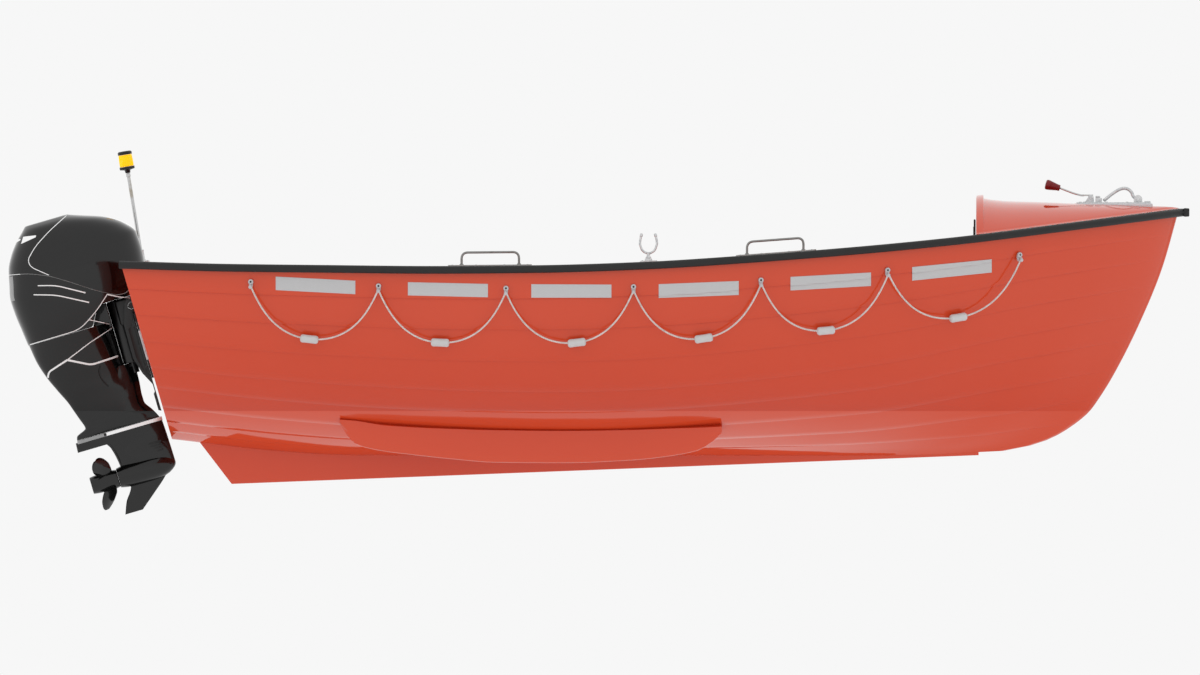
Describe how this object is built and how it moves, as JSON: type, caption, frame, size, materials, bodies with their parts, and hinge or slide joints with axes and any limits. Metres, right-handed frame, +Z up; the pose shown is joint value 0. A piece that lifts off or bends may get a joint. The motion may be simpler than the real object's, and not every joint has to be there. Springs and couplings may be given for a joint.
{
  "type": "open lifeboat with outboard engine",
  "caption": "Open clinker-look rescue boat with rub rail, becketed grab lines, cambered foredeck with release hook, thwarts, light pole and a tilting outboard engine.",
  "frame": {"origin": "on the centreline amidships, in the plane of the calm water that the empty boat floats in", "axes": "+X towards the bow, +Y to port, +Z up"},
  "size_m": [4.8512, 1.7898, 1.4968],
  "materials": {
    "hull_red": "gloss gelcoat",
    "interior_orange": "satin topcoat",
    "rubber_black": "matt",
    "thwart_white": "satin",
    "hatch_black": "satin",
    "stainless": "polished",
    "galvanised": "galvanised",
    "lens_yellow": "clear moulded",
    "lamp_black": "moulded",
    "grip_red": "moulded",
    "engine_black": "gloss paint",
    "bracket_black": "satin paint",
    "bracket_grey": "cast",
    "rope_white": "laid",
    "block_grey": "cast"
  },
  "bodies": {
    "hull": {"transom": "hull_red", "hull_bottom": "hull_red", "side_aft_port": "hull_red", "side_aft_stbd": "hull_red", "side_mid_port": "hull_red", "side_mid_stbd": "hull_red", "side_fore_port": "hull_red", "side_fore_stbd": "hull_red", "bow_side_port": "hull_red", "bow_side_stbd": "hull_red", "stem": "hull_red", "keel": "hull_red", "bilge_fin_port": "hull_red", "bilge_fin_stbd": "hull_red", "rub_rail": "rubber_black", "cockpit_sole": "interior_orange", "keelson": "hull_red", "side_bench_port": "interior_orange", "side_bench_stbd": "interior_orange", "aft_thwart": "thwart_white", "mid_thwart": "thwart_white", "bulkhead_sill": "interior_orange", "bulkhead_port": "interior_orange", "bulkhead_stbd": "interior_orange", "foredeck": "hull_red", "handrail_aft_port": "stainless", "handrail_fore_port": "stainless", "handrail_aft_stbd": "stainless", "handrail_fore_stbd": "stainless", "rowlock_socket_port": "galvanised", "rowlock_socket_stbd": "galvanised", "grab_line_port": "rope_white", "grab_line_stbd": "rope_white", "pole_bracket": "galvanised", "light_pole": "stainless", "lamp_base": "lamp_black", "lamp_lens": "lens_yellow", "lamp_cap": "lamp_black", "hook_base": "galvanised", "transom_pad": "bracket_grey", "clamp_bracket_port": "bracket_black", "clamp_bracket_stbd": "bracket_black", "tilt_tube": "stainless"},
    "engine_tilt": {"swivel_bracket": "bracket_black"},
    "engine_steer": {"steering_shaft": "stainless", "cowl_upper": "engine_black", "cowl_lower": "engine_black", "engine_block": "block_grey", "drive_leg": "engine_black", "gearcase": "engine_black"},
    "propeller_spin": {"propeller": "engine_black"},
    "tiller": {"tiller_arm": "bracket_black", "tiller_grip": "rubber_black"},
    "oar_rowlock_port": {"rowlock_port": "galvanised"},
    "oar_rowlock_stbd": {"rowlock_stbd": "galvanised"},
    "hatch": {"locker_hatch": "hatch_black"},
    "hook": {"hook_arm": "galvanised"},
    "lever": {"release_lever": "galvanised", "lever_grip": "grip_red"}
  },
  "joints": [
    {"name": "engine_tilt_hinge", "type": "hinge", "parent": "hull", "child": "engine_tilt", "pos_m": [-2.15271, 0, 0.4333], "axis": [0, 1, 0], "range_deg": [0, 65]},
    {"name": "engine_steering", "type": "hinge", "parent": "engine_tilt", "child": "engine_steer", "pos_m": [-2.20751, 0, 0.4069], "axis": [-0.28, 0, 0.96], "range_deg": [-30, 30]},
    {"name": "propeller_shaft", "type": "hinge", "parent": "engine_steer", "child": "propeller_spin", "pos_m": [-2.20554, 0, -0.27586], "axis": [0.96, 0, 0.28], "continuous": true},
    {"name": "tiller_hinge", "type": "hinge", "parent": "engine_steer", "child": "tiller", "pos_m": [-2.03512, 0, 0.58011], "axis": [0, -1, 0], "range_deg": [0, 85]},
    {"name": "rowlock_port_swivel", "type": "hinge", "parent": "hull", "child": "oar_rowlock_port", "pos_m": [-0.027, 0.83136, 0.61455], "axis": [0, 0, 1], "continuous": true},
    {"name": "rowlock_stbd_swivel", "type": "hinge", "parent": "hull", "child": "oar_rowlock_stbd", "pos_m": [-0.027, -0.83136, 0.61455], "axis": [0, 0, 1], "continuous": true},
    {"name": "hatch_hinge", "type": "hinge", "parent": "hull", "child": "hatch", "pos_m": [1.3077, 0.23, 0.638], "axis": [0, 0, -1], "range_deg": [0, 110]},
    {"name": "hook_hinge", "type": "hinge", "parent": "hull", "child": "hook", "pos_m": [1.9853, 0, 0.8705], "axis": [0, 1, 0], "range_deg": [0, 100]},
    {"name": "release_lever_hinge", "type": "hinge", "parent": "hull", "child": "lever", "pos_m": [1.791, 0, 0.8765], "axis": [0, 1, 0], "range_deg": [0, 60]}
  ]
}
